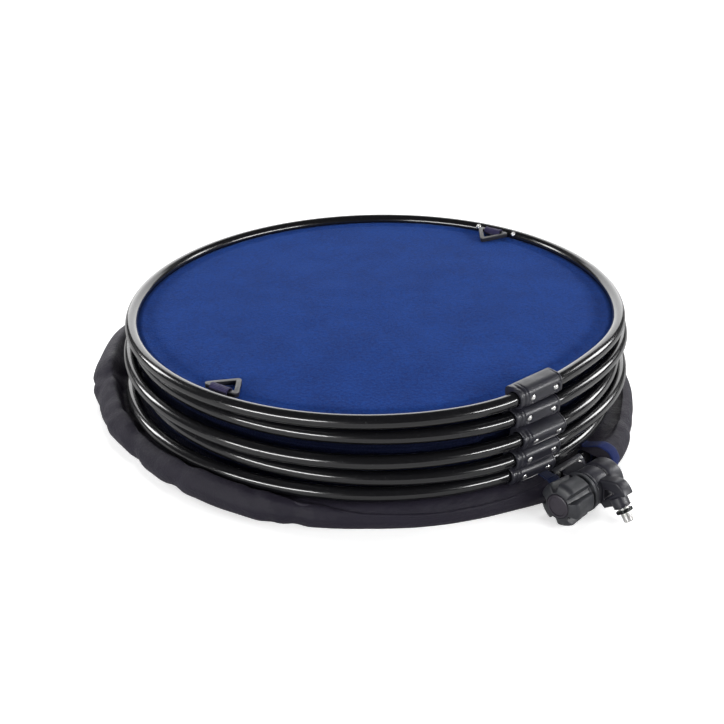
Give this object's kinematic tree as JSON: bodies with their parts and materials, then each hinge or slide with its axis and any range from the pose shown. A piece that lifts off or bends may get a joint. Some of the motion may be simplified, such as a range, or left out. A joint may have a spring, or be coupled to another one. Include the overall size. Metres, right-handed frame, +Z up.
{
  "type": "fishing keepnet",
  "caption": "Collapsed round keepnet: tube rings and net panels stacked on a mouth ring with a soft rolled collar, folding lift loops and a tilting clamp with a threaded stud.",
  "frame": {"origin": "on the ground under the middle of the part's bounding box", "axes": "+Z up through the base disc; the net's mouth faces -Z; the tilting lock is towards +X -Y"},
  "size_m": [0.5588, 0.5444, 0.1185],
  "materials": {
    "black_tube": "gloss black coating",
    "moulded_black": "satin moulding",
    "bright_metal": "bright plating",
    "blue_cloth": "fine matt weave",
    "blue_net": "dark open net",
    "black_cloth": "smooth nylon",
    "navy_webbing": "woven tape"
  },
  "bodies": {
    "head": {"clamp_nut": "bright_metal", "collar": "black_cloth", "collar_band_left": "blue_cloth", "collar_band_right": "blue_cloth", "head_hem": "blue_cloth", "head_ring_tube": "black_tube", "lock_housing": "moulded_black", "lock_screw_left": "bright_metal", "lock_screw_right": "bright_metal"},
    "ring_5": {"net_panel_4_5": "blue_net", "ring_5_rivet_left": "bright_metal", "ring_5_rivet_right": "bright_metal", "ring_5_sleeve": "moulded_black", "ring_5_tube": "black_tube"},
    "ring_4": {"net_panel_3_4": "blue_net", "ring_4_rivet_left": "bright_metal", "ring_4_rivet_right": "bright_metal", "ring_4_sleeve": "moulded_black", "ring_4_tube": "black_tube"},
    "ring_3": {"net_panel_2_3": "blue_net", "ring_3_rivet_left": "bright_metal", "ring_3_rivet_right": "bright_metal", "ring_3_sleeve": "moulded_black", "ring_3_tube": "black_tube"},
    "ring_2": {"net_panel_1_2": "blue_net", "ring_2_rivet_left": "bright_metal", "ring_2_rivet_right": "bright_metal", "ring_2_sleeve": "moulded_black", "ring_2_tube": "black_tube"},
    "base": {"base_disc": "blue_cloth", "far_loop_tab": "navy_webbing", "far_tab_rivet_a": "bright_metal", "far_tab_rivet_b": "bright_metal", "near_loop_tab": "navy_webbing", "near_tab_rivet_a": "bright_metal", "near_tab_rivet_b": "bright_metal", "ring_1_rivet_left": "bright_metal", "ring_1_rivet_right": "bright_metal", "ring_1_sleeve": "moulded_black", "ring_1_tube": "black_tube"},
    "near_loop": {"near_loop": "moulded_black"},
    "far_loop": {"far_loop": "moulded_black"},
    "arm": {"friction_washer": "moulded_black", "lock_arm": "moulded_black", "threaded_stud": "bright_metal"},
    "knob": {"clamp_bolt": "bright_metal", "clamp_knob": "moulded_black", "knob_cap": "moulded_black"},
    "lock_ring": {"lock_ring": "black_tube"}
  },
  "joints": [
    {"name": "ring_5_slide", "type": "slide", "parent": "head", "child": "ring_5", "axis": [0, 0, 1], "range_m": [0, 0.3], "deforming": ["collar"]},
    {"name": "ring_4_slide", "type": "slide", "parent": "ring_5", "child": "ring_4", "axis": [0, 0, 1], "range_m": [0, 0.43], "deforming": ["net_panel_4_5"]},
    {"name": "ring_3_slide", "type": "slide", "parent": "ring_4", "child": "ring_3", "axis": [0, 0, 1], "range_m": [0, 0.43], "deforming": ["net_panel_3_4"]},
    {"name": "ring_2_slide", "type": "slide", "parent": "ring_3", "child": "ring_2", "axis": [0, 0, 1], "range_m": [0, 0.43], "deforming": ["net_panel_2_3"]},
    {"name": "base_slide", "type": "slide", "parent": "ring_2", "child": "base", "axis": [0, 0, 1], "range_m": [0, 0.43], "deforming": ["net_panel_1_2"]},
    {"name": "near_loop_hinge", "type": "hinge", "parent": "base", "child": "near_loop", "pos_m": [-0.12169, -0.19521, 0.10072], "axis": [0.8231, -0.5678, 0.0102], "range_deg": [0, 125]},
    {"name": "far_loop_hinge", "type": "hinge", "parent": "base", "child": "far_loop", "pos_m": [0.14879, 0.18147, 0.11391], "axis": [-0.8007, 0.5989, -0.0091], "range_deg": [0, 125]},
    {"name": "arm_tilt", "type": "hinge", "parent": "head", "child": "arm", "pos_m": [0.20699, -0.20963, 0.019], "axis": [-0.7193, -0.6947, 0], "range_deg": [-60, 100]},
    {"name": "knob_turn", "type": "hinge", "parent": "head", "child": "knob", "pos_m": [0.20699, -0.20963, 0.019], "axis": [0.7193, 0.6947, 0], "continuous": true},
    {"name": "lock_ring_turn", "type": "hinge", "parent": "arm", "child": "lock_ring", "pos_m": [0.22484, -0.24021, 0.0142], "axis": [0.4277, -0.4429, -0.788], "continuous": true}
  ]
}
